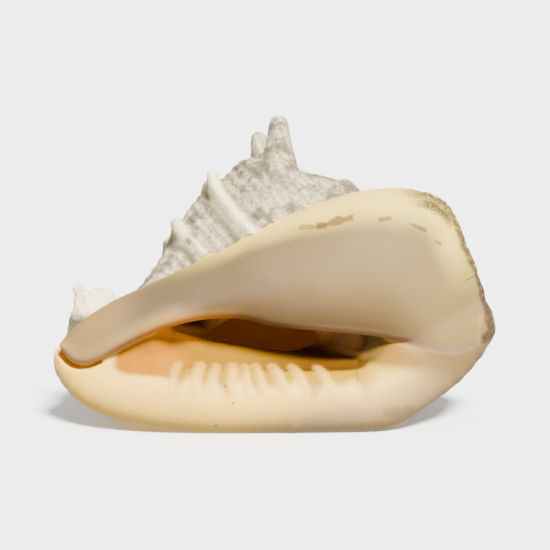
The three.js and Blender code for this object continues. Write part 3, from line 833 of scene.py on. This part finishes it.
def shield_border(nodes, x, z, over_mouth):
    """How far the cream border along the shield's upper edge reaches in. It widens towards the spire end."""
    inset = nodes.wobbled(nodes.mask("inset"), 60, 5)
    width = nodes.times(nodes.span(x, -0.03, 0.085), 9.0)
    along_edge = nodes.falling(nodes.less(inset, width), -1, nodes.plus(8.0, width))
    return nodes.times(along_edge, nodes.span(over_mouth, 20, 36), nodes.span(z, 0.07, 0.115))


def shield_colour(nodes, x, z):
    """Beige with a cream border; painted darker at the left as shade, ochre with painted shade down by the
    mouth, and painted lighter on the roll at the siphon end and on the lower edge to offset their shade.
    """
    over_mouth = nodes.wobbled(nodes.mask("over_mouth"), 30, 8)
    cloud = nodes.span(nodes.noise(16, 3), 0.38, 0.62)
    left = nodes.mix(cloud, *SHIELD_LEFT_PAINTED_SHADE_TONES)
    right = nodes.mix(cloud, *SHIELD_RIGHT_TONES)
    # Painted shade: the left of the shield is darker.
    colour = nodes.mix(nodes.span(x, -0.05, 0.07), left, right)
    colour = nodes.mix(nodes.falling(x, -0.105, -0.07), colour, TONGUE_TONE)
    by_mouth = nodes.times(nodes.span(x, -0.06, -0.01), nodes.falling(x, 0.05, 0.1))
    # Ochre tint with painted shade, darkest at the mouth's edge where the shield rolls under.
    ochre = nodes.times(nodes.falling(over_mouth, 0, 42), by_mouth)
    colour = nodes.mix(ochre, colour, OCHRE_AND_PAINTED_SHADE_TONE)
    colour = nodes.mix(shield_border(nodes, x, z, over_mouth), colour, BORDER_TONE)
    # Painted light: the roll at the siphon end is lighter to offset its shade.
    roll = nodes.times(nodes.falling(over_mouth, 4, 15), nodes.falling(x, -0.06, -0.035))
    colour = nodes.mix(roll, colour, ROLL_PAINTED_LIGHT_TONE)
    over_ramp = nodes.times(nodes.span(x, -0.09, -0.07), nodes.falling(x, -0.045, -0.012))
    blush = nodes.times(nodes.falling(over_mouth, 2, 9), over_ramp)
    colour = nodes.mix(nodes.times(blush, 0.8), colour, BLUSH_TONE)
    # Painted light: the lower edge is lighter to offset the shade where it rolls under.
    lower_edge = nodes.times(nodes.falling(nodes.mask("over_mouth"), 1, 7), nodes.span(x, 0.0, 0.03))
    return nodes.mix(nodes.times(lower_edge, nodes.mask("on_shield")), colour, LOWER_EDGE_PAINTED_LIGHT_TONE)


def marked(nodes, colour):
    """The colour of the front with brown and yellow stains, two cracks and a dark dot on it."""
    for start, end, half_width, strength in STAINS:
        stain = nodes.streak(start, end, half_width, half_width * 4)
        colour = nodes.mix(nodes.times(stain, strength), colour, STAIN_TONE)
    yellow = nodes.streak(*YELLOW_STAIN, 0.009)
    colour = nodes.mix(nodes.times(yellow, 0.5), colour, YELLOW_STAIN_TONE)
    for start, end, half_width in CRACKS:
        crack = nodes.streak(start, end, half_width, half_width * 2)
        colour = nodes.mix(nodes.times(crack, 0.6), colour, CRACK_TONE)
    return colour


def lip_colour(nodes, x):
    """Cream, painted darker tan below as shade, tan by the spire, ochre where it slopes up to the shield,
    yellow between the teeth.
    """
    patch = nodes.span(nodes.noise(20), 0.36, 0.66)
    colour = nodes.mix(patch, *LIP_TONES)
    colour = nodes.mix(nodes.span(x, 0.05, 0.1), colour, LIP_BY_SPIRE_TONE)
    turned = nodes.wobbled(nodes.mask("lip_front"), 18, 0.4)
    turned = nodes.plus(turned, nodes.times(nodes.span(x, 0.0, 0.035), 0.4))
    # Painted shade: the lip is darker tan where it turns under.
    under = nodes.times(nodes.span(turned, 1.35, 2.3), nodes.span(x, -0.04, 0.02))
    colour = nodes.mix(under, colour, LIP_PAINTED_SHADE_TONE)
    colour = nodes.mix(nodes.mask("slope"), colour, SLOPE_TONE)
    colour = nodes.mix(nodes.mask("groove"), colour, GROOVE_TONE)
    smudge = nodes.streak(*LIP_SMUDGE, 0.004)
    colour = nodes.mix(nodes.times(smudge, 0.35), colour, SMUDGE_TONE)
    for place in LIP_SPECKS:
        speck = nodes.streak(place, place, SPECK_SIZE, SPECK_SIZE / 2)
        colour = nodes.mix(nodes.times(speck, 0.8), colour, SPECK_TONE)
    return colour


def mouth_colour(nodes, x):
    """Orange on the ramp at the left, a yellow to brown floor, painted light just under the shadow line,
    brown painted shadow over it, and a very light orange far in as painted light.
    """
    colour = nodes.mix(nodes.span(nodes.noise(26, 3), 0.36, 0.64), *RAMP_TONES)
    colour = nodes.mix(nodes.span(x, -0.06, -0.045), colour, FLOOR_YELLOW_TONE)
    colour = nodes.mix(nodes.span(x, -0.03, 0.025), colour, FLOOR_BROWN_TONE)
    # Painted light: lighter just under the shadow line, where the shield shades the ramp.
    colour = nodes.mix(nodes.mask("painted_light_under_shield"), colour, PAINTED_LIGHT_UNDER_SHIELD_TONE)
    colour = nodes.mix(nodes.span(x, 0.04, 0.06), colour, FLOOR_END_TONE)
    # Painted shadow over the shadow line, dark at the left and lighter to the right, where it offsets the
    # shade already there.
    shade = nodes.mix(nodes.span(x, 0.020, 0.046), SHADE_LEFT_TONE, SHADE_RIGHT_TONE)
    shade = nodes.mix(nodes.span(x, 0.046, 0.054), shade, SHADE_END_TONE)
    colour = nodes.mix(nodes.mask("painted_shadow"), colour, shade)
    # Painted light: far in the throat the colour is very light, standing in for light that reaches in.
    return nodes.mix(nodes.mask("depth"), colour, THROAT_PAINTED_LIGHT_TONE)


def back_colour(nodes):
    """Chalk white on the ridges, grey, mottled and pitted between them, with painted shade beside the ridges
    and on the siphon's lower side.
    """
    blotch = nodes.span(nodes.noise(85, 6, 0.7), 0.38, 0.62)
    colour = nodes.mix(blotch, *BACK_TONES)
    gaps = nodes.falling(nodes.cords(), -0.9, 0.3)
    colour = nodes.mix(nodes.times(gaps, 0.4), colour, CORD_GAP_TONE)
    # Painted shade beside the ridges and on the siphon's lower side.
    colour = nodes.mix(nodes.times(nodes.mask("shaded"), 0.9), colour, BACK_PAINTED_SHADE_TONE)
    clean = nodes.times(nodes.mask("ridge"), nodes.span(nodes.noise(45, 3), 0.25, 0.45))
    colour = nodes.mix(nodes.times(clean, 0.9), colour, CHALK_TONE)
    pits = nodes.times(nodes.span(nodes.noise(520, 4, 0.65), 0.54, 0.62), nodes.falling(clean, 0.2, 0.8))
    return nodes.mix(nodes.times(pits, 0.7), colour, PIT_TONE)


def rim_wear(nodes, x, z):
    """How dirty the crumbling rim by the spire is: specks on its edge, and a band inside its upper corner."""
    inset = nodes.wobbled(nodes.mask("inset"), 110, 5)
    grain = nodes.span(nodes.noise(420, 5, 0.7), 0.36, 0.54)
    edge = nodes.times(nodes.falling(inset, 3, 6), grain)
    corner = nodes.times(nodes.span(x, 0.072, 0.09), nodes.span(z, 0.112, 0.122))
    band = nodes.times(nodes.span(inset, 3, 5), nodes.falling(inset, 7, 10), corner, nodes.plus(0.35, grain))
    return nodes.times(nodes.mask("worn"), nodes.most(edge, nodes.times(band, 0.75)))


def front_colour(nodes, x, z, wear):
    """The glazed front: lip, shield, mouth, teeth, marks and the dirt on the rim."""
    colour = nodes.mix(nodes.mask("shield_tint"), lip_colour(nodes, x), shield_colour(nodes, x, z))
    orange = nodes.span(nodes.wobbled(nodes.mask("orange"), 55, 0.7), 0.2, 0.8)
    colour = nodes.mix(orange, colour, mouth_colour(nodes, x))
    colour = nodes.mix(nodes.times(nodes.mask("tooth"), 0.7), colour, TOOTH_TONE)
    return nodes.mix(nodes.times(wear, 0.9), marked(nodes, colour), RIM_DIRT_TONE)


def shell_normal(nodes, bare, dull):
    """Low waves all over, fine cords on the bare back, and pits where it is dull."""
    waves = nodes.bump(nodes.noise(45, 3), 0.12, 0.004)
    corded = nodes.bump(nodes.times(nodes.cords(), bare), 0.5, 0.0006, waves)
    pits = nodes.times(nodes.noise(480, 5, 0.7), dull)
    return nodes.bump(pits, 0.9, 0.0015, corded)


def shell_material():
    """A glazed front and a chalky back, with a frayed edge between them."""
    material = bpy.data.materials.new("shell")
    material.use_nodes = True
    nodes = Nodes(material)
    bsdf = material.node_tree.nodes["Principled BSDF"]
    x, z = nodes.across_and_up()
    glaze = nodes.span(nodes.wobbled(nodes.mask("glaze"), 170, 0.5), 0.35, 0.65)
    bare = nodes.less(1.0, glaze)
    wear = rim_wear(nodes, x, z)
    dull = nodes.most(bare, wear)
    colour = nodes.mix(glaze, back_colour(nodes), front_colour(nodes, x, z, wear))
    nodes.put(bsdf.inputs["Base Color"], colour)
    # The orange hardly reflects, so that it keeps its depth of colour.
    shine = nodes.times(nodes.less(1.05, nodes.mask("orange")), 0.16)
    nodes.put(bsdf.inputs["Specular IOR Level"], shine)
    matt = nodes.most(nodes.mask("on_shield"), nodes.most(nodes.mask("orange"), nodes.mask("tooth")))
    roughness = nodes.plus(0.42, nodes.times(matt, 0.22))
    nodes.put(bsdf.inputs["Roughness"], nodes.most(roughness, nodes.times(dull, 0.85)))
    nodes.put(bsdf.inputs["Normal"], shell_normal(nodes, bare, dull))
    return material


def make_floor():
    """A plain pale floor."""
    bpy.ops.mesh.primitive_plane_add(size=STUDIO_FLOOR_SIZE)
    floor = bpy.context.object
    floor.name = "floor"
    material = bpy.data.materials.new("floor")
    material.use_nodes = True
    bsdf = material.node_tree.nodes["Principled BSDF"]
    bsdf.inputs["Base Color"].default_value = (*STUDIO_FLOOR_TONE, 1)
    bsdf.inputs["Roughness"].default_value = 0.9
    floor.data.materials.append(material)
    # The floor throws no light back up, so the shell's underside is in shade.
    floor.visible_diffuse = False
    floor.visible_glossy = False
    return floor


def add_key_light():
    """One broad soft light, high in front and a little to the right."""
    data = bpy.data.lights.new("key", "SUN")
    data.energy = KEY_STRENGTH
    data.angle = math.radians(KEY_SPREAD)
    light = bpy.data.objects.new("key", data)
    light.rotation_euler = Vector(KEY_FROM).to_track_quat("Z", "Y").to_euler()
    bpy.context.collection.objects.link(light)


def add_world():
    """A pale studio, brighter below, where a white table would throw the light back."""
    world = bpy.data.worlds.new("studio")
    world.use_nodes = True
    tree = world.node_tree
    split = tree.nodes.new("ShaderNodeSeparateXYZ")
    fade = tree.nodes.new("ShaderNodeMapRange")
    fade.interpolation_type = "SMOOTHSTEP"
    fade.inputs["From Min"].default_value = WORLD_FADE[0]
    fade.inputs["From Max"].default_value = WORLD_FADE[1]
    fade.inputs["To Min"].default_value = WORLD_LOW
    fade.inputs["To Max"].default_value = WORLD_HIGH
    tree.links.new(tree.nodes.new("ShaderNodeTexCoord").outputs["Generated"], split.inputs[0])
    tree.links.new(split.outputs["Z"], fade.inputs["Value"])
    background = tree.nodes["Background"]
    background.inputs["Color"].default_value = (1, 1, 1, 1)
    tree.links.new(fade.outputs["Result"], background.inputs["Strength"])
    bpy.context.scene.world = world


def add_camera():
    """The camera at the photograph's angle, in front and a little above."""
    target = Vector(CAMERA_TARGET)
    elevation = math.radians(CAMERA_ELEVATION)
    data = bpy.data.cameras.new("camera")
    data.sensor_width = CAMERA_SENSOR
    data.lens = CAMERA_LENS
    camera = bpy.data.objects.new("camera", data)
    camera.location = target + CAMERA_DISTANCE * Vector((0, -math.cos(elevation), math.sin(elevation)))
    camera.rotation_euler = (target - camera.location).to_track_quat("-Z", "Y").to_euler()
    bpy.context.collection.objects.link(camera)
    bpy.context.scene.camera = camera


shell = make_shell()
shell.data.materials.append(shell_material())
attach(shell, "root")
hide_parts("shell")
make_floor()
add_world()
add_key_light()
add_camera()
